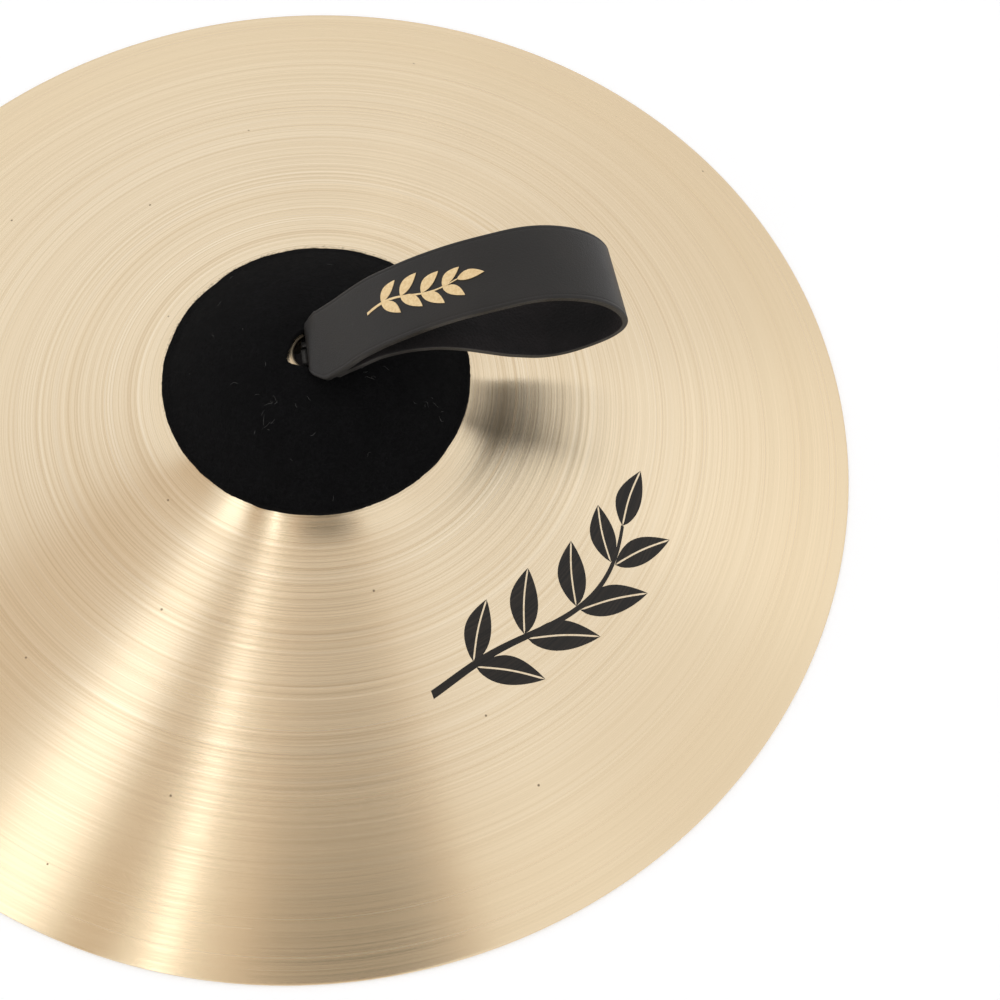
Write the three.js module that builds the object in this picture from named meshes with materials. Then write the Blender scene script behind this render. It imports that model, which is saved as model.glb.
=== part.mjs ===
// A hand cymbal: a lathed bronze plate with a domed bell, a felt pad that lies over the bell, and a leather
// hand strap. Each end of the strap is slit into two tails. The four tails go down through the pad and the
// plate, and are tied under the bell in a crown knot, which bears on the bell from below.
// Millimetres, +Z up. The origin is the middle of the plane that the plate's rim lies on, and the strap leans
// towards +X.
import * as THREE from "three";

// Plate
const PLATE_RADIUS = 228.6; // 18 inches across
const CROWN_HEIGHT = 51; // top of the bell, if it had no hole, above the plane of the rim
const BELL_RADIUS = 58; // where the bell's dome ends
const BELL_END_SLOPE = 36; // degrees below level
const FOOT_RADIUS = 38; // the hollow curve between bell and bow
const BOW_START_SLOPE = 7; // degrees below level
const HOLE_RADIUS = 8;
const CROWN_THICKNESS = 1.9;
const RIM_THICKNESS = 1.05;
const RIM_FLAT = 1.2; // width of the flat that the rim stands on
const PLATE_SEGMENTS = 64;

// Pad
const PAD_RADIUS = 62;
const PAD_HOLE_RADIUS = 12;
const PAD_THICKNESS = 3;
const PAD_SEGMENTS = 48;

// Strap
const STRAP_THICKNESS = 2.5;
const STRAP_WIDTH = 34;
const SHOULDER_WIDTH = 30; // where the strap's full width gives way to its shoulders
const SHOULDER_LENGTH = 14;
const NECK_WIDTH = 13; // both tails of one end, side by side, at the hole
const STRAP_STATIONS = 76;
const FOLD_RADIUS = 1.6; // middle of the leather, where the strap turns into the hole
const LEAN = 47; // degrees above level, of the strap where it leaves the hole
const LOOP_SWAY = 6.5; // how far the loop's end hangs to one side of the joint
const SWAY_LENGTH = 75; // from the joint to where it hangs so

// Tails and their knot
const TAIL_WIDTH = 6.4;
const TAIL_THICKNESS = 2.3;
const TAIL_STATIONS = 44;
const TAIL_TOP = 50.4;

const GAP = 0.45; // left between pieces that bear on each other
const EDGE_CHAMFER = 0.35; // on the long edges of the leather

const radians = THREE.MathUtils.degToRad;

// ---- materials ----
function material(colour, roughness, metalness) {
  return new THREE.MeshStandardMaterial({ color: colour, roughness, metalness });
}

const bronze = material(0xdcb57e, 0.28, 1);
const felt = material(0x0d0d0e, 0.97, 0);
const leather = material(0x242424, 0.55, 0);

// ---- the plate's section ----
// Points along a round stretch whose slope goes from one angle to another. A positive radius bulges upwards.
function arcPoints(start, radius, slopeFrom, slopeTo, steps) {
  const points = [];
  for (let i = 1; i <= steps; i++) {
    const slope = slopeFrom + ((slopeTo - slopeFrom) * i) / steps;
    points.push(
      new THREE.Vector2(
        start.x + radius * (Math.sin(slope) - Math.sin(slopeFrom)),
        start.y - radius * (Math.cos(slopeFrom) - Math.cos(slope)),
      ),
    );
  }
  return points;
}

const bellSlope = radians(BELL_END_SLOPE);
const bellRadius = BELL_RADIUS / Math.sin(bellSlope);

// Height of the bell's upper side at a distance from the middle.
function bellTop(r) {
  return CROWN_HEIGHT - bellRadius + Math.sqrt(bellRadius ** 2 - r ** 2);
}

// The plate's upper side from hole to rim: the bell, its foot and the bow.
function upperSide() {
  const holeSlope = Math.asin(HOLE_RADIUS / bellRadius);
  const start = new THREE.Vector2(HOLE_RADIUS, bellTop(HOLE_RADIUS));
  const bell = arcPoints(start, bellRadius, holeSlope, bellSlope, 7);
  const bowSlope = radians(BOW_START_SLOPE);
  const foot = arcPoints(bell.at(-1), -FOOT_RADIUS, bellSlope, bowSlope, 4);
  const bowStart = foot.at(-1);
  const width = PLATE_RADIUS - bowStart.x;
  const meanSlope = Math.atan2(bowStart.y - RIM_THICKNESS, width);
  const rimSlope = 2 * meanSlope - bowSlope;
  const bowRadius = width / (Math.sin(rimSlope) - Math.sin(bowSlope));
  return [start, ...bell, ...foot, ...arcPoints(bowStart, bowRadius, bowSlope, rimSlope, 8)];
}

// The lower side follows the upper one, closer to it towards the rim, and ends at the flat of the rim.
function lowerSide(upper) {
  const points = upper.slice(0, -1).map((p) => {
    const share = (p.x - HOLE_RADIUS) / (PLATE_RADIUS - HOLE_RADIUS);
    const depth = THREE.MathUtils.lerp(CROWN_THICKNESS, RIM_THICKNESS, share);
    return new THREE.Vector2(p.x, p.y - depth);
  });
  return [...points, new THREE.Vector2(PLATE_RADIUS - RIM_FLAT, 0), new THREE.Vector2(PLATE_RADIUS, 0)];
}

// A closed outline, turned about the Z axis.
function turned(outline, segments) {
  return new THREE.LatheGeometry([...outline, outline[0]], segments).rotateX(Math.PI / 2);
}

function plateGeometry() {
  const upper = upperSide();
  return turned([...lowerSide(upper), ...upper.reverse()], PLATE_SEGMENTS);
}

// ---- the pad's section: the bell's own curve, a gap above it, and again a thickness higher ----
function padGeometry() {
  const steps = 8;
  const radii = Array.from({ length: steps + 1 }, (_, i) =>
    THREE.MathUtils.lerp(PAD_HOLE_RADIUS, PAD_RADIUS, i / steps),
  );
  // Past the end of the dome the felt keeps the slope that it has there.
  const over = (r) => (r < BELL_RADIUS ? bellTop(r) : bellTop(BELL_RADIUS) - (r - BELL_RADIUS) * 0.45);
  const under = radii.map((r) => new THREE.Vector2(r, over(r) + GAP));
  const top = radii.map((r) => new THREE.Vector2(r, over(r) + GAP + PAD_THICKNESS));
  return turned([...under, ...top.reverse()], PAD_SEGMENTS);
}

// ---- leather ----
// The strap's section, as places across its width and through its thickness, with its long edges broken.
function leatherSection(width, thickness) {
  const edge = width / 2;
  const face = thickness / 2;
  return [
    [edge, face - EDGE_CHAMFER],
    [edge - EDGE_CHAMFER, face],
    [EDGE_CHAMFER - edge, face],
    [-edge, face - EDGE_CHAMFER],
    [-edge, EDGE_CHAMFER - face],
    [EDGE_CHAMFER - edge, -face],
    [edge - EDGE_CHAMFER, -face],
    [edge, EDGE_CHAMFER - face],
  ];
}

// A flat strip swept through stations, each with its middle, its width and the directions of its width (side)
// and thickness (up). A closed strip joins its last station to its first, and an open one gets two ends.
function strip(stations, thickness, closed) {
  const positions = stations.flatMap(({ middle, side, up, width }) =>
    leatherSection(width, thickness).flatMap(([across, through]) =>
      middle.clone().addScaledVector(side, across).addScaledVector(up, through).toArray(),
    ),
  );
  const corners = leatherSection(1, 1).length;
  const spans = closed ? stations.length : stations.length - 1;
  const index = [];
  for (let i = 0; i < spans; i++) {
    const here = i * corners;
    const there = ((i + 1) % stations.length) * corners;
    for (let k = 0; k < corners; k++) {
      const next = (k + 1) % corners;
      index.push(here + k, here + next, there + next);
      index.push(here + k, there + next, there + k);
    }
  }
  if (!closed) {
    const last = spans * corners;
    for (let k = 1; k < corners - 1; k++) {
      index.push(0, k + 1, k);
      index.push(last, last + k, last + k + 1);
    }
  }
  return new THREE.BufferGeometry()
    .setAttribute("position", new THREE.Float32BufferAttribute(positions, 3))
    .setIndex(index);
}

// The joint's height: the leather there just clears the ends of the tails in the hole.
const HINGE_HEIGHT = TAIL_TOP + GAP + FOLD_RADIUS + STRAP_THICKNESS / 2;

// The hand loop seen from the side, as [x, z] above the joint: up the upper limb, round the end, back below.
const UPPER_LIMB = [[10, 11.9], [20, 21.3], [32, 30.9], [46, 39.5], [62, 46], [78, 48], [92, 46], [104, 41], [113, 34]];
const LOOP_END = [[118, 26], [118.2, 20.6]];
const LOWER_LIMB = [[114.5, 15.4], [107, 11], [97, 7.9], [87, 7.7], [76, 11.2], [65, 16], [55, 20], [45, 22], [35, 20.9]];
const LOWER_NEAR_HOLE = [[26, 17.2], [17.5, 12], [10, 7]];

// The fold round the joint's axis, from the lower limb's side to the upper limb's, starting at its middle.
function foldPoints(fromDegrees, toDegrees, steps) {
  return Array.from({ length: steps + 1 }, (_, i) => {
    const angle = radians(LEAN + THREE.MathUtils.lerp(fromDegrees, toDegrees, i / steps));
    return [FOLD_RADIUS * Math.cos(angle), FOLD_RADIUS * Math.sin(angle)];
  });
}

function loopCurve() {
  const outline = [
    ...foldPoints(180, 90, 3),
    ...UPPER_LIMB,
    ...LOOP_END,
    ...LOWER_LIMB,
    ...LOWER_NEAR_HOLE,
    ...foldPoints(270, 210, 2),
  ];
  const points = outline.map(([x, z]) => {
    const sway = -LOOP_SWAY * THREE.MathUtils.smoothstep(x, 0, SWAY_LENGTH);
    return new THREE.Vector3(x, sway, HINGE_HEIGHT + z);
  });
  return new THREE.CatmullRomCurve3(points, true, "centripetal");
}

function strapWidth(fromHole) {
  const shoulder = THREE.MathUtils.clamp((fromHole - FOLD_RADIUS) / SHOULDER_LENGTH, 0, 1);
  const body = THREE.MathUtils.smoothstep(fromHole, SHOULDER_LENGTH, 4 * SHOULDER_LENGTH);
  return NECK_WIDTH + (SHOULDER_WIDTH - NECK_WIDTH) * shoulder + (STRAP_WIDTH - SHOULDER_WIDTH) * body;
}

function loopGeometry() {
  const curve = loopCurve();
  curve.arcLengthDivisions = 2000;
  const length = curve.getLength();
  const side = new THREE.Vector3(0, 1, 0);
  const stations = Array.from({ length: STRAP_STATIONS }, (_, i) => {
    const turn = i / STRAP_STATIONS;
    const share = turn - (0.92 * Math.sin(2 * Math.PI * turn)) / (2 * Math.PI); // closer together at the fold
    const along = curve.getTangentAt(share);
    const width = strapWidth(Math.min(share, 1 - share) * length);
    return { middle: curve.getPointAt(share), side, up: along.clone().cross(side).normalize(), width };
  });
  return strip(stations, STRAP_THICKNESS, true);
}

// One tail's way from the hole through the crown knot to its free end, as [x, y, z, tilt]. It goes out along +Y
// against the bell, folds back, crosses below one neighbour and above the other. Tilt is its slope across.
const TAIL_ROUTE = [
  [-1.4, 3.95, TAIL_TOP, 0],
  [-1.4, 3.95, 49.2, 0],
  [-1.4, 4.7, 47.6, 0],
  [-1.3, 6.6, 46.7, 0],
  [-0.9, 9.2, 46.5, 0],
  [0.4, 12.3, 45.7, 0.1],
  [1.7, 13.9, 42.8, 0.25],
  [3.5, 13.5, 39.5, 0.37],
  [4.7, 11.2, 37.1, 0.37],
  [4.9, 8.2, 36.7, 0.37],
  [4.9, 4.9, 37.9, 0.37],
  [4.9, 1.9, 39, 0.33],
  [4.9, 0, 39.7, 0],
  [4.9, -1.9, 40.4, -0.33],
  [4.9, -4.9, 41.5, -0.37],
  [5.3, -8.6, 42.4, -0.37],
  [6.7, -14, 42.3, -0.25],
  [7.2, -21, 41.9, -0.1],
  [7.8, -29, 39.3, 0],
  [8.3, -35.5, 36, 0.1],
  [8.7, -40.5, 32.6, 0.1],
];

function tailGeometry(quarterTurns) {
  const middles = new THREE.CatmullRomCurve3(TAIL_ROUTE.map(([x, y, z]) => new THREE.Vector3(x, y, z)));
  const sides = new THREE.CatmullRomCurve3(TAIL_ROUTE.map(([, , , tilt]) => new THREE.Vector3(1, 0, tilt)));
  const stations = Array.from({ length: TAIL_STATIONS }, (_, i) => {
    const t = i / (TAIL_STATIONS - 1);
    const along = middles.getTangent(t);
    const up = along.clone().cross(sides.getPoint(t)).normalize();
    const side = up.clone().cross(along).normalize();
    return { middle: middles.getPoint(t), side, up, width: TAIL_WIDTH };
  });
  return strip(stations, TAIL_THICKNESS, false).rotateZ((quarterTurns * Math.PI) / 2);
}

// ---- assembly ----
const handCymbal = new THREE.Group();

function add(name, geometry, finish) {
  const mesh = new THREE.Mesh(geometry, finish);
  mesh.name = name;
  handCymbal.add(mesh);
}

add("cymbal_plate", plateGeometry(), bronze);
add("felt_pad", padGeometry(), felt);
add("strap_hand_loop", loopGeometry(), leather);
["upper_end_left", "upper_end_right", "lower_end_left", "lower_end_right"].forEach((end, i) =>
  add(`strap_tail_${end}`, tailGeometry(i), leather),
);

export default handCymbal;
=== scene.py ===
import math

import bpy
import numpy as np
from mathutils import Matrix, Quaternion, Vector, noise


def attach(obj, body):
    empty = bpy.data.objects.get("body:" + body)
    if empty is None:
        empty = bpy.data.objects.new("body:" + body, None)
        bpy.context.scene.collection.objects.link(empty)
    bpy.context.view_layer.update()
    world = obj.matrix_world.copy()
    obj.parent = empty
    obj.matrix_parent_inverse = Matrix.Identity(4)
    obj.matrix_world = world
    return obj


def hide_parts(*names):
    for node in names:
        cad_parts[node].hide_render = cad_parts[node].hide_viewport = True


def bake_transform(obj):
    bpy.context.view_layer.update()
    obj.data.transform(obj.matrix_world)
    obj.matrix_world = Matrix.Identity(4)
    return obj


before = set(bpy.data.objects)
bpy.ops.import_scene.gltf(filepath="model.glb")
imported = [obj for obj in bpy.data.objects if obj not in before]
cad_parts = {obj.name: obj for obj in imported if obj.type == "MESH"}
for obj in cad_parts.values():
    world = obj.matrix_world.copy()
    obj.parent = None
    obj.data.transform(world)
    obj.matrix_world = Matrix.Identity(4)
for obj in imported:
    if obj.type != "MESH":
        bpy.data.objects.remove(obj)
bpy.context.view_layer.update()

# Lengths of the object are in millimetres, in the frame's axes, and become metres where a mesh is made.
# Lengths in materials, walls and the camera are in metres.
METRE = 0.001

# Plate
PLATE_RADIUS = 228.6
CROWN_HEIGHT = 51.0
BELL_RADIUS = 58.0
BELL_END_SLOPE = math.radians(36)
FOOT_RADIUS = 38.0
BOW_START_SLOPE = math.radians(7)
HOLE_RADIUS = 8.0
CROWN_THICKNESS = 1.9
RIM_THICKNESS = 1.05
RIM_FLAT = 1.2
PLATE_SEGMENTS = 288
# The waves that the lathe's tool leaves: length and height of each.
LATHE_WAVES = ((11.0, 0.016), (5.2, 0.010), (3.1, 0.009))
TOP_STEP = 0.6
UNDER_STEP = 1.2

# Pad
PAD_RADIUS = 62.0
PAD_THICKNESS = 3.0
PAD_GAP = 0.45
PAD_HOLE_RADIUS = 8.8
PAD_HOLE_NOTCH = 2.6
PAD_HOLE_NOTCH_AZIMUTH = math.radians(198)
NOTCH_SHARPNESS = 14.0
FELT_SLOPE = 0.45
PAD_SEGMENTS = 260

# Strap
HINGE_HEIGHT = 53.7
STRAP_THICKNESS = 2.5
STRAP_WIDTH = 32.4
LENGTH_IN_HOLE = 5.0
# How far the far and the near edge of the upper limb are from the middle of the hole, at some lengths along
# the leather from the fold above the hole. The lower limb is pulled aside by a smaller share of it.
EDGE_LENGTHS = (-2.5, -0.8, 2.6, 7.0, 16.0, 26.0, 35.0)
FAR_EDGE = (7.3, 11.3, 12.0, 12.0, 12.1, 12.4, 13.0)
NEAR_EDGE = (7.3, 9.6, 14.6, 18.8, 18.9, 18.2, 18.2)
LOWER_PULL = 0.58
# The loop hangs to one side by this much, reached at this distance from the hole.
LOOP_SWAY = 6.5
SWAY_LENGTH = 75.0
# The loop's far half, where the leather widens, its pull fades and its end is drawn in a little.
FAR_HALF = (40, 116)
PULL_FADE = (40, 112)
END_DRAW = 2.0
FOLD_SKEW = 0.1
FOLD_RADIUS = 1.6
LEAN = math.radians(47)
STRAP_WAVER = 0.22
STRAP_STATIONS = 420
TAIL_WIDTH = 6.4
TAIL_THICKNESS = 2.3
TAIL_STATIONS = 150

# Loose fibres on the felt, and tufts of lint as place, spread and how many
EDGE_FIBRES = 1500
FACE_FIBRES = 1400
LINT_TUFTS = (((-16, -27), 5, 16), ((40, -26), 3, 7), ((19, -12), 3, 4), ((-5, -8), 40, 26))

# Printed marks: sprig length, leaf length and width, pairs of leaves, vein and stem width, then place
PLATE_SPRIG = (126, 25, 10.5, 4, 0.7, 2.6)
PLATE_SPRIG_RADIUS = 137
PLATE_SPRIG_AZIMUTH = math.radians(-58)
INK_THICKNESS = 0.07
STRAP_SPRIG = (46, 9.5, 4.0, 4, 0.0, 0.9)
STRAP_SPRIG_LENGTH_ALONG = 58
FOIL_THICKNESS = 0.25

# Camera, in metres, and floor
CAMERA_PLACE = Vector((0.0, -0.24599, 0.4523))
CAMERA_TARGET = Vector((0.0639, -0.0619, 0.020))
CAMERA_ROLL = math.radians(8.52)
CAMERA_LENS = 42.39
FLOOR_HALF_SIZE = 3000
FLOOR_HEIGHT = -0.05


# ---- meshes ----
def mesh_object(name, points, faces, materials, face_materials=None):
    """A smooth-shaded object from points in millimetres and faces."""
    mesh = bpy.data.meshes.new(name)
    mesh.from_pydata((np.asarray(points, float) * METRE).tolist(), [], [list(f) for f in faces])
    for material in materials:
        mesh.materials.append(material)
    if face_materials is not None:
        mesh.polygons.foreach_set("material_index", np.asarray(face_materials, np.int32))
    mesh.polygons.foreach_set("use_smooth", np.ones(len(mesh.polygons), bool))
    mesh.update()
    obj = bpy.data.objects.new(name, mesh)
    bpy.context.collection.objects.link(obj)
    return obj


def ring_faces(rings, corners, closed):
    """Quads between rings of corners in a row. A closed row of rings ends where it starts."""
    i = np.arange(rings if closed else rings - 1)[:, None]
    k = np.arange(corners)[None, :]
    here = i * corners
    there = ((i + 1) % rings) * corners
    following = (k + 1) % corners
    return np.stack([here + k, here + following, there + following, there + k], -1).reshape(-1, 4)


def turned(outline, segments, shift=None):
    """A closed outline of (distance, height) turned about Z. The outline runs anticlockwise in that plane.
    shift(points) may move the points."""
    angles = np.linspace(0, 2 * math.pi, segments, endpoint=False)[:, None]
    r, z = np.asarray(outline, float).T
    points = np.stack([np.cos(angles) * r, np.sin(angles) * r, np.ones_like(angles) * z], -1).reshape(-1, 3)
    if shift:
        points = shift(points)
    return points, ring_faces(segments, len(r), True)[:, ::-1]


def smoothstep(x, low, high):
    t = np.clip((np.asarray(x, float) - low) / (high - low), 0, 1)
    return t * t * (3 - 2 * t)


def spline(points, count):
    """count places, evenly spaced along a centripetal Catmull-Rom curve through the points."""
    p = np.asarray(points, float)
    p = np.vstack([2 * p[0] - p[1], p, 2 * p[-1] - p[-2]])
    fine = []
    for p0, p1, p2, p3 in zip(p[:-3], p[1:-2], p[2:-1], p[3:]):
        gaps = [math.sqrt(np.linalg.norm(b - a)) for a, b in ((p0, p1), (p1, p2), (p2, p3))]
        knots = np.cumsum([0] + gaps)
        t = np.linspace(knots[1], knots[2], 40, endpoint=False)[:, None]
        a1 = ((knots[1] - t) * p0 + t * p1) / knots[1]
        a2 = ((knots[2] - t) * p1 + (t - knots[1]) * p2) / (knots[2] - knots[1])
        a3 = ((knots[3] - t) * p2 + (t - knots[2]) * p3) / (knots[3] - knots[2])
        b1 = ((knots[2] - t) * a1 + t * a2) / knots[2]
        b2 = ((knots[3] - t) * a2 + (t - knots[1]) * a3) / (knots[3] - knots[1])
        fine.append(((knots[2] - t) * b1 + (t - knots[1]) * b2) / (knots[2] - knots[1]))
    fine = np.vstack(fine + [p[-2:-1]])
    length = np.concatenate([[0], np.cumsum(np.linalg.norm(np.diff(fine, axis=0), axis=1))])
    even = np.linspace(0, length[-1], count)
    return np.stack([np.interp(even, length, fine[:, k]) for k in range(fine.shape[1])], 1)


def relaxed(points, times):
    """The same row of points with small kinks smoothed out, ends kept."""
    points = points.copy()
    for _ in range(times):
        points[1:-1] = points[1:-1] * 0.5 + (points[:-2] + points[2:]) * 0.25
    return points


# ---- materials ----
class Nodes:
    """A tree of nodes. Its methods add a node and return what comes out of it."""

    def __init__(self, tree):
        self.tree = tree

    def feed(self, node, socket, value):
        target = node.inputs[socket]
        if isinstance(value, bpy.types.NodeSocket):
            self.tree.links.new(value, target)
        elif hasattr(value, "__len__") and len(value) == 3 and target.type == "RGBA":
            target.default_value = (*value, 1)
        else:
            target.default_value = value

    def node(self, kind, inputs, out=0, **settings):
        node = self.tree.nodes.new(kind)
        for key, value in settings.items():
            setattr(node, key, value)
        for socket, value in inputs.items():
            self.feed(node, socket, value)
        return node.outputs[out]

    def maths(self, operation, a, b=0.0, c=0.0):
        return self.node("ShaderNodeMath", {0: a, 1: b, 2: c}, operation=operation)

    def noise(self, vector, scale, detail=2.0, roughness=0.5, distortion=0.0):
        inputs = {"Vector": vector, "Scale": scale, "Detail": detail, "Roughness": roughness}
        return self.node("ShaderNodeTexNoise", {**inputs, "Distortion": distortion}, "Fac")

    def remap(self, value, low, high, to_low, to_high):
        inputs = {"Value": value, "From Min": low, "From Max": high, "To Min": to_low, "To Max": to_high}
        return self.node("ShaderNodeMapRange", inputs, interpolation_type="SMOOTHSTEP")

    def mix(self, factor, a, b, blend_type="MIX"):
        node = self.tree.nodes.new("ShaderNodeMix")
        node.data_type = "RGBA"
        node.blend_type = blend_type
        for socket, value in ((0, factor), (6, a), (7, b)):
            self.feed(node, socket, value)
        return node.outputs[2]

    def bump(self, height, distance, normal=None, strength=1.0):
        inputs = {"Height": height, "Distance": distance, "Strength": strength}
        if normal is not None:
            inputs["Normal"] = normal
        return self.node("ShaderNodeBump", inputs)


class Look(Nodes):
    """A material with one shader. The constants are set on the shader's own sockets."""

    def __init__(self, name, **constants):
        self.material = bpy.data.materials.new(name)
        self.material.use_nodes = True
        super().__init__(self.material.node_tree)
        self.shader = self.tree.nodes["Principled BSDF"]
        for socket, value in constants.items():
            self.feed(self.shader, socket.replace("_", " "), value)

    def place(self):
        return self.node("ShaderNodeTexCoord", {}, "Object")

    def rings(self, along=0.001):
        """Places for textures that run round the Z axis: distance from it, then a little of x and y."""
        place = self.place()
        flat = self.node("ShaderNodeVectorMath", {0: place, 1: (1, 1, 0)}, operation="MULTIPLY")
        distance = self.node("ShaderNodeVectorMath", {0: flat}, "Value", operation="LENGTH")
        split = self.tree.nodes.new("ShaderNodeSeparateXYZ")
        self.feed(split, "Vector", flat)
        x = self.maths("MULTIPLY", split.outputs["X"], along)
        y = self.maths("MULTIPLY", split.outputs["Y"], along)
        return self.node("ShaderNodeCombineXYZ", {"X": distance, "Y": x, "Z": y}), distance


def lathed_bumps(look):
    """The lathe's marks on the plate, also followed by what is printed on it."""
    ring, distance = look.rings()
    coarse = look.noise(ring, 560, 2, 0.6)
    fine = look.noise(ring, 2400, 3, 0.7)
    strength = look.remap(distance, 0.07, 0.2, 1.0, 0.5)
    height = look.maths("MULTIPLY", look.maths("MULTIPLY_ADD", coarse, 5.0, fine), strength)
    return look.bump(height, 0.000016)


def tool_lines(look, ring, scale, width):
    """Thin rings where the lathe's tool dug in, as a strength from 0 to 1."""
    wander = look.noise(ring, scale, 1.5, 0.55)
    off = look.maths("ABSOLUTE", look.maths("SUBTRACT", wander, 0.5))
    return look.remap(off, 0.0, width, 1, 0)


def bronze_look():
    """Bronze turned on a lathe: gloss that spreads across the fine rings, darker in the tool's lines,
    browner towards the rim, with painted shade near black round the hole."""
    look = Look("cymbal_bronze", Metallic=1.0, Anisotropic=1.0, Anisotropic_Rotation=0.25)
    ring, distance = look.rings()
    wide = look.noise(ring, 55, 2, 0.5)
    pitch = look.noise(ring, 640, 3, 0.65)
    fine = look.noise(ring, 3000, 2, 0.6)
    cloud = look.noise(look.place(), 9, 3, 0.5)
    colour = look.mix(look.remap(wide, 0.3, 0.7, 0, 1), (0.90, 0.765, 0.565), (0.88, 0.735, 0.53))
    colour = look.mix(look.remap(pitch, 0.3, 0.75, 0, 0.5), colour, (0.76, 0.60, 0.385))
    colour = look.mix(look.remap(fine, 0.35, 0.75, 0, 0.22), colour, (0.66, 0.50, 0.31))
    near_bell = look.remap(distance, 0.07, 0.2, 0.42, 0.16)
    lines = look.maths("MULTIPLY", tool_lines(look, ring, 420, 0.035), near_bell)
    colour = look.mix(lines, colour, (0.60, 0.44, 0.26))
    bright = look.maths("MULTIPLY", tool_lines(look, ring, 300, 0.02), near_bell)
    colour = look.mix(bright, colour, (0.97, 0.86, 0.68))
    colour = look.mix(look.remap(cloud, 0.4, 0.75, 0, 0.35), colour, (0.86, 0.71, 0.50))
    colour = look.mix(look.remap(distance, 0.14, 0.222, 0, 0.75), colour, (0.845, 0.68, 0.455))
    # Painted shade: the bronze round the hole's edge, where the pad and strap shade it, is coloured near
    # black.
    colour = look.mix(look.remap(distance, 0.0084, 0.0096, 0.93, 0), colour, (0.03, 0.022, 0.014))
    specks = look.node("ShaderNodeTexVoronoi", {"Vector": look.place(), "Scale": 55.0}, "Distance")
    colour = look.mix(look.remap(specks, 0.02, 0.032, 0.75, 0), colour, (0.12, 0.08, 0.045))
    look.feed(look.shader, "Base Color", colour)
    rough = look.remap(look.maths("MULTIPLY_ADD", fine, 0.5, pitch), 0.4, 1.1, 0.20, 0.29)
    look.feed(look.shader, "Roughness", rough)
    look.feed(look.shader, "Normal", lathed_bumps(look))
    look.feed(look.shader, "Tangent", look.node("ShaderNodeTangent", {}, direction_type="RADIAL", axis="Z"))
    return look.material


def felt_look(name, dark, light):
    """Matted wool between two colours."""
    look = Look(name, Roughness=0.95, Specular_IOR_Level=0.04, Sheen_Weight=0.02, Sheen_Roughness=0.6)
    place = look.place()
    tuft = look.noise(place, 620, 4, 0.75, 1.6)
    cloud = look.noise(place, 60, 3, 0.6)
    fibre = look.noise(place, 2600, 2, 0.7, 3.0)
    colour = look.mix(look.remap(tuft, 0.35, 0.75, 0, 1), dark, light)
    colour = look.mix(look.remap(cloud, 0.4, 0.7, 0, 0.5), colour, dark)
    look.feed(look.shader, "Base Color", colour)
    height = look.maths("MULTIPLY_ADD", fibre, 0.35, tuft)
    look.feed(look.shader, "Normal", look.bump(height, 0.0009))
    return look.material


def leather_look(name, dark, light, rough, grain, grain_height, scuffs):
    """Leather between two colours, with pores, and with pale scuffs of a given strength."""
    look = Look(name, Specular_IOR_Level=0.36)
    place = look.place()
    pores = look.node("ShaderNodeTexVoronoi", {"Vector": place, "Scale": grain}, "Distance")
    cloud = look.noise(place, 45, 3, 0.55)
    fine = look.noise(place, grain * 2.2, 3, 0.7)
    stretched = look.node("ShaderNodeVectorMath", {0: place, 1: (0.35, 1, 1)}, operation="MULTIPLY")
    scuff = look.noise(stretched, 300, 4, 0.8)
    colour = look.mix(look.remap(cloud, 0.3, 0.7, 0, 1), dark, light)
    colour = look.mix(look.remap(scuff, 0.70, 0.80, 0, scuffs), colour, (0.16, 0.16, 0.165))
    look.feed(look.shader, "Base Color", colour)
    uneven = look.maths("ADD", cloud, fine)
    look.feed(look.shader, "Roughness", look.remap(uneven, 0.6, 1.4, rough - 0.06, rough + 0.08))
    height = look.maths("MULTIPLY_ADD", fine, 0.6, pores)
    look.feed(look.shader, "Normal", look.bump(height, grain_height))
    return look.material


def ink_look():
    """Thin black ink, which shows the lathe's rings under it."""
    look = Look("plate_ink", Specular_IOR_Level=0.32, Anisotropic=0.6, Anisotropic_Rotation=0.25)
    ring, _ = look.rings()
    streak = look.noise(ring, 1100, 3, 0.7)
    thin = look.remap(streak, 0.35, 0.7, 0, 1)
    look.feed(look.shader, "Base Color", look.mix(thin, (0.006, 0.005, 0.004), (0.028, 0.022, 0.017)))
    look.feed(look.shader, "Roughness", look.remap(streak, 0.3, 0.7, 0.34, 0.5))
    look.feed(look.shader, "Normal", lathed_bumps(look))
    look.feed(look.shader, "Tangent", look.node("ShaderNodeTangent", {}, direction_type="RADIAL", axis="Z"))
    return look.material


def foil_look():
    """Slightly worn gold foil."""
    look = Look("gold_foil", Metallic=1.0)
    wear = look.noise(look.place(), 900, 4, 0.7)
    worn = look.remap(wear, 0.35, 0.7, 0, 1)
    look.feed(look.shader, "Base Color", look.mix(worn, (0.86, 0.66, 0.38), (0.74, 0.54, 0.29)))
    look.feed(look.shader, "Roughness", look.remap(wear, 0.3, 0.7, 0.3, 0.45))
    look.feed(look.shader, "Normal", look.bump(wear, 0.00006))
    return look.material


def floor_look():
    glow = {"Emission_Color": (0.72, 0.84, 1.0), "Emission_Strength": 0.14}
    look = Look("pale_floor", Specular_IOR_Level=0.1, **glow)
    cloud = look.noise(look.place(), 3, 3, 0.5)
    look.feed(look.shader, "Base Color", look.mix(cloud, (0.985, 0.985, 0.985), (0.99, 0.99, 0.988)))
    look.feed(look.shader, "Roughness", look.remap(cloud, 0.3, 0.7, 0.85, 0.95))
    return look.material


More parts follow.
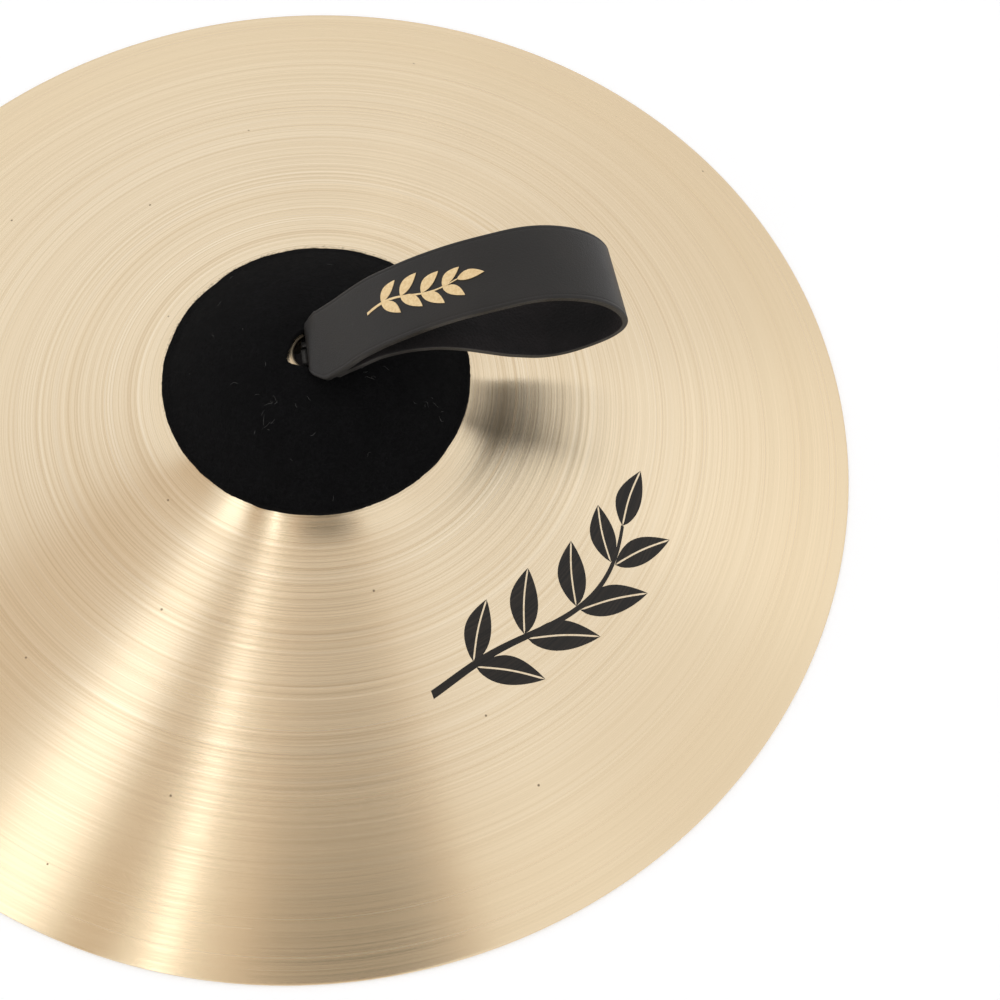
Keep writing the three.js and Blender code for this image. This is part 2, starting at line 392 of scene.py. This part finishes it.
BRONZE = bronze_look()
FELT = felt_look("wool_felt", (0.0022, 0.0022, 0.0026), (0.0085, 0.0085, 0.0095))
LINT = felt_look("lint", (0.15, 0.15, 0.15), (0.32, 0.315, 0.31))
LEATHER = leather_look(
    "strap_leather", (0.0105, 0.0090, 0.0080), (0.0165, 0.0140, 0.0124),
    rough=0.46, grain=1500, grain_height=0.00006, scuffs=0.35,
)
SUEDE = leather_look(
    "strap_suede", (0.004, 0.0032, 0.0034), (0.015, 0.0122, 0.0128),
    rough=0.88, grain=900, grain_height=0.00025, scuffs=0.6,
)
CUT_EDGE = leather_look(
    "strap_cut_edge", (0.010, 0.0095, 0.009), (0.045, 0.043, 0.041),
    rough=0.5, grain=1300, grain_height=0.0001, scuffs=0.8,
)
INK = ink_look()
FOIL = foil_look()


# ---- plate ----
BELL_SPHERE = BELL_RADIUS / math.sin(BELL_END_SLOPE)
BELL_END_HEIGHT = CROWN_HEIGHT - BELL_SPHERE * (1 - math.cos(BELL_END_SLOPE))
FOOT_MIDDLE = (
    BELL_RADIUS + FOOT_RADIUS * math.sin(BELL_END_SLOPE),
    BELL_END_HEIGHT + FOOT_RADIUS * math.cos(BELL_END_SLOPE),
)
FOOT_END = FOOT_MIDDLE[0] - FOOT_RADIUS * math.sin(BOW_START_SLOPE)
FOOT_END_HEIGHT = FOOT_MIDDLE[1] - FOOT_RADIUS * math.cos(BOW_START_SLOPE)
BOW_MEAN_SLOPE = math.atan2(FOOT_END_HEIGHT - RIM_THICKNESS, PLATE_RADIUS - FOOT_END)
BOW_RADIUS = (PLATE_RADIUS - FOOT_END) / (
    math.sin(2 * BOW_MEAN_SLOPE - BOW_START_SLOPE) - math.sin(BOW_START_SLOPE)
)
BOW_MIDDLE = (
    FOOT_END - BOW_RADIUS * math.sin(BOW_START_SLOPE),
    FOOT_END_HEIGHT - BOW_RADIUS * math.cos(BOW_START_SLOPE),
)


def plate_top(r):
    """Height of the plate's upper side at distance r from its middle: bell, foot and bow."""
    r = np.asarray(r, float)
    bell = CROWN_HEIGHT - BELL_SPHERE + np.sqrt(np.maximum(BELL_SPHERE**2 - r**2, 0))
    foot = FOOT_MIDDLE[1] - np.sqrt(np.maximum(FOOT_RADIUS**2 - (FOOT_MIDDLE[0] - r) ** 2, 0))
    bow = BOW_MIDDLE[1] + np.sqrt(BOW_RADIUS**2 - (r - BOW_MIDDLE[0]) ** 2)
    return np.where(r < BELL_RADIUS, bell, np.where(r < FOOT_END, foot, bow))


def lathe_waves(r, seed):
    """The wide waves that the lathe's tool leaves, deeper near the bell."""
    rng = np.random.default_rng(seed)
    height = np.zeros_like(r)
    for wavelength, size in LATHE_WAVES:
        phase, drift = rng.uniform(0, 2 * math.pi, 2)
        wander = 1.6 * np.sin(2 * math.pi * r / (wavelength * 5.7) + drift)
        height += size * np.sin(2 * math.pi * r / wavelength + phase + wander)
    return height * (1 - 0.5 * smoothstep(r, 90, 190)) * smoothstep(r, HOLE_RADIUS, HOLE_RADIUS + 4)


def make_plate():
    """The plate's section, turned: underside and top with the lathe's waves, and a blunt rim."""
    radii = np.arange(HOLE_RADIUS + 0.5, PLATE_RADIUS - 1.0, TOP_STEP)
    top = [(HOLE_RADIUS, float(plate_top(HOLE_RADIUS)) - 0.25)]
    top += list(zip(radii, plate_top(radii) + lathe_waves(radii, 3)))
    top += [(PLATE_RADIUS - 0.4, float(plate_top(PLATE_RADIUS - 0.4)) - 0.02)]
    top += [(PLATE_RADIUS - 0.08, RIM_THICKNESS - 0.2), (PLATE_RADIUS, RIM_THICKNESS / 2)]
    low = np.arange(HOLE_RADIUS + 0.5, PLATE_RADIUS - RIM_FLAT - 1.0, UNDER_STEP)
    share = (low - HOLE_RADIUS) / (PLATE_RADIUS - HOLE_RADIUS)
    depth = CROWN_THICKNESS + (RIM_THICKNESS - CROWN_THICKNESS) * share
    bottom = [(HOLE_RADIUS, float(plate_top(HOLE_RADIUS)) - CROWN_THICKNESS + 0.25)]
    bottom += list(zip(low, plate_top(low) - depth + lathe_waves(low, 8) * 0.6))
    bottom += [(PLATE_RADIUS - RIM_FLAT, 0.0), (PLATE_RADIUS - 0.1, 0.0)]
    points, faces = turned(bottom + top[::-1], PLATE_SEGMENTS)
    plate = mesh_object("bronze_plate", points, faces, [BRONZE])
    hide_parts("cymbal_plate")
    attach(plate, "cymbal")


# ---- pad ----
def pad_under(r):
    """Height of the pad's underside. Past the end of the dome the felt keeps the slope it has there."""
    r = np.asarray(r, float)
    past = plate_top(BELL_RADIUS - 1e-6) - (r - BELL_RADIUS) * FELT_SLOPE
    return np.where(r < BELL_RADIUS, plate_top(r), past) + PAD_GAP


def felt_lumps(points):
    """Moves each point a little, by the uneven thickness and cut edge of real felt."""
    moved = points.copy()
    for p in moved:
        at = Vector(p)
        outward = Vector((p[0], p[1], 0)).normalized()
        edge = float(smoothstep(math.hypot(p[0], p[1]), 54, 61.5))
        p += outward * (noise.noise(at * 0.09) * 0.45 + noise.noise(at * 0.6) * 0.18) * edge
        near_hole = 1 - float(smoothstep(math.hypot(p[0], p[1]), PAD_HOLE_RADIUS + 1, PAD_HOLE_RADIUS + 10))
        turn = math.atan2(p[1], p[0]) - PAD_HOLE_NOTCH_AZIMUTH
        p += outward * PAD_HOLE_NOTCH * near_hole * math.exp(NOTCH_SHARPNESS * (math.cos(turn) - 1))
        p[2] += noise.noise(at * 0.055 + Vector((9, 0, 0))) * 0.30
        p[2] += noise.noise(at * 0.33) * 0.12 + noise.noise(at * 1.1) * 0.07
    return moved


def pad_outline():
    """The pad's section, anticlockwise from its hole: underside, rim, top."""
    half = PAD_THICKNESS / 2
    low = np.linspace(PAD_HOLE_RADIUS + 0.5, PAD_RADIUS - 0.9, 24)
    high = np.linspace(PAD_RADIUS - 1.0, PAD_HOLE_RADIUS + 1.2, 84)
    pressed = 0.7 * (1 - smoothstep(high, PAD_HOLE_RADIUS, PAD_HOLE_RADIUS + 9))
    rim_height = float(pad_under(PAD_RADIUS)) + half
    rim = [
        (PAD_RADIUS - half * 0.5 + half * 0.5 * math.cos(a), rim_height + half * 0.98 * math.sin(a))
        for a in np.radians([-60, -30, 0, 30, 60])
    ]
    hole_height = float(pad_under(PAD_HOLE_RADIUS)) + half
    hole = [
        (PAD_HOLE_RADIUS + 0.6 - 0.6 * math.cos(a), hole_height + half * 0.8 * math.sin(a) - 0.2)
        for a in np.radians([60, 30, 0, -30, -60])
    ]
    under = list(zip(low, pad_under(low)))
    top = list(zip(high, pad_under(high) + PAD_THICKNESS - pressed))
    return under + rim + top + hole


def make_pad():
    points, faces = turned(pad_outline(), PAD_SEGMENTS, felt_lumps)
    pad = mesh_object("felt_disc", points, faces, [FELT])
    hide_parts("felt_pad")
    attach(pad, "pad")
    return pad


def thread(path, radius):
    """A three-sided tapering thread along a path, as points and faces."""
    path = np.asarray(path, float)
    along = np.gradient(path, axis=0)
    along /= np.linalg.norm(along, axis=1)[:, None]
    side = np.cross(along, (0.31, 0.17, 0.93))
    side /= np.linalg.norm(side, axis=1)[:, None]
    up = np.cross(side, along)
    taper = np.sin(np.linspace(0.35, math.pi - 0.35, len(path)))[:, None] * radius
    corners = [path + (side * math.cos(a) + up * math.sin(a)) * taper for a in np.radians([90, 210, 330])]
    points = np.stack(corners, 1).reshape(-1, 3)
    faces = ring_faces(len(path), 3, False).tolist()
    last = len(points) - 3
    return points, faces + [[2, 1, 0], [last, last + 1, last + 2]]


def threads_object(name, paths, material, body):
    """One object of many threads, each given as a path and a radius."""
    points, faces, start = [], [], 0
    for path, radius in paths:
        p, f = thread(path, radius)
        points.append(p)
        faces += [[k + start for k in face] for face in f]
        start += len(p)
    obj = mesh_object(name, np.vstack(points), faces, [material])
    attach(obj, body)
    return obj


def fibre_path(rng, azimuth, distance, length, rise, curl, count):
    """A fibre that starts on the felt's top, wanders along it and rises from it."""
    heading = rng.uniform(0, 2 * math.pi)
    x, y = distance * math.cos(azimuth), distance * math.sin(azimuth)
    path = []
    for k in range(count):
        lift = rise * math.sin(math.pi * (0.1 + 0.8 * k / (count - 1)))
        r = min(math.hypot(x, y), PAD_RADIUS + 1.0)
        path.append((x, y, float(pad_under(r)) + PAD_THICKNESS + 0.05 + lift))
        heading += rng.normal(0, curl)
        x += math.cos(heading) * length / count
        y += math.sin(heading) * length / count
    return path


def make_fibres():
    """Fibres of the felt's own colour at its edge and on its face, and paler lint that lies on it."""
    rng = np.random.default_rng(11)
    fuzz = []
    for _ in range(EDGE_FIBRES):
        distance = PAD_RADIUS - abs(rng.normal(0, 0.5)) - 0.2
        azimuth = rng.uniform(0, 2 * math.pi)
        length = rng.uniform(0.8, 2.0)
        fuzz.append((fibre_path(rng, azimuth, distance, length, rng.uniform(0, 0.5), 0.5, 4), 0.04))
    for _ in range(FACE_FIBRES):
        distance = math.sqrt(rng.uniform((PAD_HOLE_RADIUS + 2) ** 2, 60**2))
        azimuth = rng.uniform(0, 2 * math.pi)
        length = rng.uniform(1.2, 3.0)
        fuzz.append((fibre_path(rng, azimuth, distance, length, rng.uniform(0.1, 0.6), 0.6, 4), 0.035))
    threads_object("felt_fuzz", fuzz, FELT, "pad")
    lint = []
    for centre, spread, many in LINT_TUFTS:
        for _ in range(many):
            x, y = centre[0] + rng.normal(0, spread), centre[1] + rng.normal(0, spread)
            distance = math.hypot(x, y)
            if PAD_HOLE_RADIUS + 3 < distance < PAD_RADIUS - 3:
                length = rng.uniform(1.0, 5.0)
                path = fibre_path(rng, math.atan2(y, x), distance, length, 0.35, 0.45, 8)
                lint.append((path, rng.uniform(0.03, 0.055)))
    threads_object("felt_lint", lint, LINT, "pad")


# ---- leather ----
# A leather edge's profile, as (in from the edge, down from the face), going in from the edge.
ROUNDED = [(0.0, 0.55), (0.1, 0.24), (0.35, 0.05), (0.8, 0.0)]
CREASED = ROUNDED + [(1.25, 0.02), (1.5, 0.13), (1.75, 0.02), (2.2, 0.0)]
EDGE_GROOVE = 0.14
OUTER, INNER, EDGE = 0, 1, 2


def leather_section(width, thickness, outer):
    """Places across and through the leather, anticlockwise, with a groove between its two layers."""
    edge, face = width / 2, thickness / 2

    def flat(inset, steps):
        return np.linspace(edge - inset, inset - edge, steps + 2)[1:-1]

    top = [(edge - i, face - d) for i, d in outer]
    top += [(u, face) for u in flat(outer[-1][0], 11)]
    top += [(i - edge, face - d) for i, d in reversed(outer)]
    bottom = [(i - edge, d - face) for i, d in ROUNDED]
    bottom += [(-u, -face) for u in flat(ROUNDED[-1][0], 7)]
    bottom += [(edge - i, d - face) for i, d in reversed(ROUNDED)]
    return np.array(top + [(EDGE_GROOVE - edge, 0)] + bottom + [(edge - EDGE_GROOVE, 0)])


def unit(rows):
    return rows / np.linalg.norm(rows, axis=1)[:, None]


def squared(middles, sides):
    """The directions across, turned to be square to the line."""
    along = unit(np.gradient(middles, axis=0))
    return np.cross(unit(np.cross(along, sides)), along)


def band(name, middles, sides, widths, thickness, outer, materials):
    """Leather swept along its middle line, closed at both ends."""
    sides = unit(sides)
    up = unit(np.cross(np.gradient(middles, axis=0), sides))
    rows = []
    for middle, side, over, width in zip(middles, sides, up, widths):
        section = leather_section(width, thickness, outer)
        rows.append(middle + section[:, :1] * side + section[:, 1:] * over)
    corners = len(section)
    faces = ring_faces(len(rows), corners, False).tolist()
    through = (section[:, 1] + np.roll(section[:, 1], -1)) / 2
    inner_face = through < 0.3 - thickness / 2
    kinds = np.where(through > thickness / 2 - 0.3, OUTER, np.where(inner_face, INNER, EDGE))
    kinds = np.tile(kinds, len(rows) - 1).tolist()
    last = (len(rows) - 1) * corners
    faces += [list(range(corners))[::-1], list(range(last, last + corners))]
    return mesh_object(name, np.vstack(rows), faces, materials, kinds + [EDGE, EDGE])


# The hand loop seen from the side, as (x, z) above the joint.
UPPER_LIMB = [
    (10, 11.9), (20, 21.3), (32, 30.9), (46, 39.5), (62, 46), (78, 48), (92, 46), (104, 41), (113, 34),
]
LOOP_END = [(118, 26), (118.2, 20.6)]
LOWER_LIMB = [
    (114.5, 15.4), (107, 11), (97, 7.9), (87, 7.7), (76, 11.2), (65, 16), (55, 20), (45, 22), (35, 20.9),
]
LOWER_NEAR_HOLE = [(26, 17.2), (17.5, 12), (10, 7)]


def fold_point(turn):
    """A place on the leather's fold round the joint, as (x, z) above it, turned from the loop's own lean."""
    angle = LEAN + math.radians(turn)
    return (FOLD_RADIUS * math.cos(angle), FOLD_RADIUS * math.sin(angle))


def loop_line():
    """The middle of the leather from one end in the hole, round the loop, to the other end in the hole."""
    start = [(-1.5, -4.0), (-1.5, -1.6), fold_point(90)]
    end = [fold_point(-90), (1.5, -2.6), (1.5, -4.0)]
    outline = start + UPPER_LIMB + LOOP_END + LOWER_LIMB + LOWER_NEAR_HOLE + end
    return relaxed(spline([(x, 0, z + HINGE_HEIGHT) for x, z in outline], STRAP_STATIONS), 6)


def lengths_along(line):
    """How far each point of a line is from its start, along it."""
    return np.concatenate([[0], np.cumsum(np.linalg.norm(np.diff(line, axis=0), axis=1))])


def above_hole(line):
    """How far each place of the line is along the leather from where it leaves the hole."""
    length = lengths_along(line)
    return np.minimum(length, length[-1] - length) - LENGTH_IN_HOLE


def slewed(line):
    """The loop as a hand leaves it: pulled aside near the hole, swaying aside and drawn in at its end."""
    above, x = above_hole(line), line[:, 0]
    upper = np.arange(len(line)) < np.argmax(x)
    pull = (np.interp(above, EDGE_LENGTHS, FAR_EDGE) - np.interp(above, EDGE_LENGTHS, NEAR_EDGE)) / 2
    pull *= np.where(upper, 1, LOWER_PULL)
    line = line.copy()
    line[:, 1] += pull * (1 - smoothstep(x, *PULL_FADE)) - LOOP_SWAY * smoothstep(x, 0, SWAY_LENGTH)
    line[:, 0] -= END_DRAW * smoothstep(x, *FAR_HALF)
    return line


LOOP_LINE = slewed(loop_line())
LOOP_LENGTH = lengths_along(LOOP_LINE)


def strap_width(line):
    """Width of the leather: a neck in the hole, slanted shoulders, then slowly wider to the loop's end."""
    body = np.interp(above_hole(line), EDGE_LENGTHS, np.add(FAR_EDGE, NEAR_EDGE))
    return body + (STRAP_WIDTH - FAR_EDGE[-1] - NEAR_EDGE[-1]) * smoothstep(line[:, 0], *FAR_HALF)


def strap_sides(line):
    """Directions across the leather. The fold at the hole is a little askew."""
    above = above_hole(line)
    skew = FOLD_SKEW * (1 - smoothstep(above, 1, 9)) * smoothstep(above, -2, 1)
    return np.stack([skew, np.ones(len(line)), np.zeros(len(line))], 1)


def make_strap():
    """The loop of the strap, which wavers a little and turns in a tight fold just above the hole."""
    strap = band(
        "leather_strap", LOOP_LINE, strap_sides(LOOP_LINE), strap_width(LOOP_LINE),
        STRAP_THICKNESS, CREASED, [LEATHER, SUEDE, CUT_EDGE],
    )
    for vertex in strap.data.vertices:
        at = vertex.co * 1000
        amount = STRAP_WAVER * float(smoothstep(at.x, 8, 30)) * METRE
        vertex.co.z += noise.noise(Vector((at.x * 0.05, at.y * 0.06, 4))) * amount
        vertex.co.y += noise.noise(Vector((at.x * 0.04, 2, at.z * 0.04))) * amount * 2
    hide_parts("strap_hand_loop")
    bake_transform(strap)


# One tail's way down the hole, round through the crown knot under it and out to its free end, as x, y, z and
# tilt across. The other three are the same, turned by quarter turns.
TAIL_ROUTE = [
    (-1.4, 3.95, 50.4, 0),
    (-1.4, 3.95, 49.2, 0),
    (-1.4, 4.7, 47.6, 0),
    (-1.3, 6.6, 46.7, 0),
    (-0.9, 9.2, 46.5, 0),
    (0.4, 12.3, 45.7, 0.1),
    (1.7, 13.9, 42.8, 0.25),
    (3.5, 13.5, 39.5, 0.37),
    (4.7, 11.2, 37.1, 0.37),
    (4.9, 8.2, 36.7, 0.37),
    (4.9, 4.9, 37.9, 0.37),
    (4.9, 1.9, 39, 0.33),
    (4.9, 0, 39.7, 0),
    (4.9, -1.9, 40.4, -0.33),
    (4.9, -4.9, 41.5, -0.37),
    (5.3, -8.6, 42.4, -0.37),
    (6.7, -14, 42.3, -0.25),
    (7.2, -21, 41.9, -0.1),
    (7.8, -29, 39.3, 0),
    (8.3, -35.5, 36, 0.1),
    (8.7, -40.5, 32.6, 0.1),
]


def make_tails():
    route = spline(TAIL_ROUTE, TAIL_STATIONS)
    sides = np.stack([np.ones(len(route)), np.zeros(len(route)), route[:, 3]], 1)
    widths = np.full(len(route), TAIL_WIDTH)
    for turns, end in enumerate(("upper_end_left", "upper_end_right", "lower_end_left", "lower_end_right")):
        c, s = (1, 0, -1, 0)[turns], (0, 1, 0, -1)[turns]
        turn = np.array([[c, -s, 0], [s, c, 0], [0, 0, 1]], float)
        tail = band(
            f"leather_tail_{end}", route[:, :3] @ turn.T, squared(route[:, :3], sides) @ turn.T, widths,
            TAIL_THICKNESS, ROUNDED, [LEATHER, SUEDE, CUT_EDGE],
        )
        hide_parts(f"strap_tail_{end}")
        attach(tail, "knot")


# ---- printed marks: a plain leaf sprig ----
def leaf(base, angle, length, width, vein):
    """The two halves of a leaf, each as two rows of points, with a vein left free between them."""
    t = np.linspace(0, 1, 16)
    bend = 0.10 * length * np.sin(math.pi * t)
    reach = width / 2 * np.sin(math.pi * t**0.85) ** 0.9
    c, s = math.cos(angle), math.sin(angle)
    halves = []
    for sign in (1, -1):
        inner = sign * np.minimum(vein / 2, reach)
        outer = sign * reach
        rows = []
        for across in (inner, outer):
            x, y = t * length, bend * 0.6 + across
            rows.append(np.stack([base[0] + c * x - s * y, base[1] + s * x + c * y], 1))
        halves.append(rows if sign > 0 else rows[::-1])
    return halves


def sprig(length, leaf_length, leaf_width, pairs, vein, stem_width):
    """A stem with leaves in pairs, from x = -length / 2 to length / 2, as pairs of rows of points."""
    t = np.linspace(0, 1, 60)
    x = (t - 0.5) * (length - leaf_length * 0.8)
    y = 0.035 * length * np.sin(2 * math.pi * t)
    half = stem_width / 2 * (1.25 - 0.75 * t)
    strips = [[np.stack([x, y - half], 1), np.stack([x, y + half], 1)][::-1]]
    for k in range(pairs):
        at = (k + 0.9) / (pairs + 0.6)
        i = int(at * (len(t) - 1))
        size = 0.78 + 0.34 * math.sin(math.pi * (0.15 + 0.75 * at))
        for sign in (1, -1):
            angle = sign * math.radians(44 - 8 * at)
            base = (x[i], y[i] + sign * stem_width * 0.4)
            strips += leaf(base, angle, leaf_length * size, leaf_width * size, vein)
    strips += leaf((x[-1], y[-1]), 0.0, leaf_length * 1.05, leaf_width, vein)
    return strips


def printed(name, strips, surface, thickness, material, body):
    """Thin closed sheets of ink or foil. surface(points, height) puts flat points on what bears them."""
    points, faces, start = [], [], 0
    for first, second in strips:
        count = len(first)
        corners = ((first, thickness), (second, thickness), (second, -thickness), (first, -thickness))
        rows = [surface(row, height) for row, height in corners]
        points.append(np.stack(rows, 1).reshape(-1, 3))
        faces += (ring_faces(count, 4, False) + start).tolist()
        faces += [[start + k for k in (3, 2, 1, 0)], [start + (count - 1) * 4 + k for k in range(4)]]
        start += count * 4
    obj = mesh_object(name, np.vstack(points), faces, [material])
    obj.data.polygons.foreach_set("use_smooth", np.zeros(len(obj.data.polygons), bool))
    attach(obj, body)
    return obj


def on_plate(middle_radius, middle_azimuth):
    """Puts flat points on the plate's top, with their x along a ring of it."""
    def surface(flat, height):
        r = middle_radius - flat[:, 1]
        a = middle_azimuth + flat[:, 0] / middle_radius
        z = plate_top(r) + lathe_waves(r, 3) + height
        return np.stack([r * np.cos(a), r * np.sin(a), z], 1)

    return surface


def on_strap(middle_length, middle_y):
    """Puts flat points on the outer face of the loop, with their x along the leather."""
    up = np.cross(np.gradient(LOOP_LINE, axis=0), (0, 1, 0))
    up /= np.linalg.norm(up, axis=1)[:, None]

    def surface(flat, height):
        along = middle_length + flat[:, 0]
        at = np.stack([np.interp(along, LOOP_LENGTH, LOOP_LINE[:, k]) for k in range(3)], 1)
        over = np.stack([np.interp(along, LOOP_LENGTH, up[:, k]) for k in range(3)], 1)
        at[:, 1] += middle_y + flat[:, 1]
        return at + over * (STRAP_THICKNESS / 2 + height)

    return surface


def make_marks():
    surface = on_plate(PLATE_SPRIG_RADIUS, PLATE_SPRIG_AZIMUTH)
    mark = printed("plate_sprig", sprig(*PLATE_SPRIG), surface, INK_THICKNESS, INK, "cymbal")
    surface = on_strap(STRAP_SPRIG_LENGTH_ALONG, 0)
    mark = printed("strap_sprig", sprig(*STRAP_SPRIG), surface, FOIL_THICKNESS, FOIL, "strap")


# ---- studio ----
def make_floor():
    steps = np.linspace(-FLOOR_HALF_SIZE, FLOOR_HALF_SIZE, 9)
    x, y = np.meshgrid(steps, steps)
    points = np.stack([x.ravel(), y.ravel(), np.full(x.size, FLOOR_HEIGHT)], 1)
    n = len(steps)
    first = [i * n + k for i in range(n - 1) for k in range(n - 1)]
    faces = [[a, a + 1, a + n + 1, a + n] for a in first]
    mesh_object("floor", points, faces, [floor_look()])


# The streaks that run out from the bell, each made by a light or shade on the walls: azimuth on the plate in
# degrees, then half width, softness and change of level of that light or shade.
STREAKS = [
    (-113.0, 0.005, 0.010, 2.6),
    (-99.0, 0.15, 0.10, -0.32),
    (-120.0, 0.03, 0.04, -0.46),
    (-128.5, 0.035, 0.05, 0.75),
    (-147.0, 0.08, 0.12, -0.34),
]
# Softer places on the walls: direction, reach and softness in radians, change of level.
GLOWS = [
    ((0.65, 0.58, 0.50), 0.30, 0.40, -0.12),
    ((0.50, 0.33, 0.80), 0.10, 0.16, 0.12),
    ((0.50, -0.18, 0.85), 0.08, 0.20, -0.15),
    ((0.64, 0.24, 0.73), 0.10, 0.18, 0.14),
]
# The dark shape of the camera: direction, reach and softness, and how much darker it is.
CAMERA_SHADE = ((-0.07, -0.41, 0.909), 0.15, 0.06)
CAMERA_DARK = -0.8
# Distance from the plate's middle at which each streak is aimed, in metres
STREAK_AIM = 0.13


def make_sky():
    """White walls all round, with lights and shades on them, and the dark shape of the camera."""
    world = bpy.data.worlds.new("studio")
    bpy.context.scene.world = world
    world.use_nodes = True
    sky = Nodes(world.node_tree)
    back = world.node_tree.nodes["Background"]
    direction = sky.node("ShaderNodeTexCoord", {}, "Generated")
    level = 1.0

    def along(axis):
        return sky.node("ShaderNodeVectorMath", {0: direction, 1: axis}, "Value", operation="DOT_PRODUCT")

    def near(towards, reach, soft):
        close = along(Vector(towards).normalized())
        return sky.remap(close, math.cos(reach + soft), math.cos(reach), 0, 1)

    for towards, reach, soft, change in GLOWS:
        level = sky.maths("MULTIPLY_ADD", near(towards, reach, soft), change, level)
    for azimuth, half, soft, change in STREAKS:
        outward = Vector((math.cos(math.radians(azimuth)), math.sin(math.radians(azimuth)), 0))
        across = Vector((-outward.y, outward.x, 0))
        to_camera = (CAMERA_PLACE - outward * STREAK_AIM).normalized()
        off = sky.maths("ABSOLUTE", sky.maths("ADD", along(across), to_camera.dot(across)))
        mask = sky.remap(off, half, half + soft, 1, 0)
        mask = sky.maths("MULTIPLY", mask, sky.remap(along(outward), -0.30, -0.15, 0, 1))
        level = sky.maths("MULTIPLY_ADD", mask, change, level)
    shade = near(*CAMERA_SHADE)
    level = sky.maths("MULTIPLY_ADD", shade, CAMERA_DARK, level)
    sky.feed(back, "Strength", level)
    dim = sky.remap(level, 0.35, 1.0, 0.8, 0)
    walls = sky.mix(dim, (1, 1, 1), (1.22, 0.92, 0.62))
    sky.feed(back, "Color", sky.mix(shade, walls, (0.8, 0.45, 0.22)))


def make_camera():
    data = bpy.data.cameras.new("camera")
    data.sensor_width = 36.0
    data.lens = CAMERA_LENS
    data.clip_start = 0.01
    camera = bpy.data.objects.new("camera", data)
    camera.rotation_mode = "QUATERNION"
    camera.location = CAMERA_PLACE
    roll = Quaternion((0, 0, 1), CAMERA_ROLL)
    camera.rotation_quaternion = (CAMERA_TARGET - CAMERA_PLACE).to_track_quat("-Z", "Y") @ roll
    bpy.context.collection.objects.link(camera)
    bpy.context.scene.camera = camera


make_camera()
bpy.context.scene.view_settings.view_transform = "Standard"
make_floor()
make_sky()
make_plate()
pad = make_pad()
make_fibres()
make_strap()
make_tails()
make_marks()
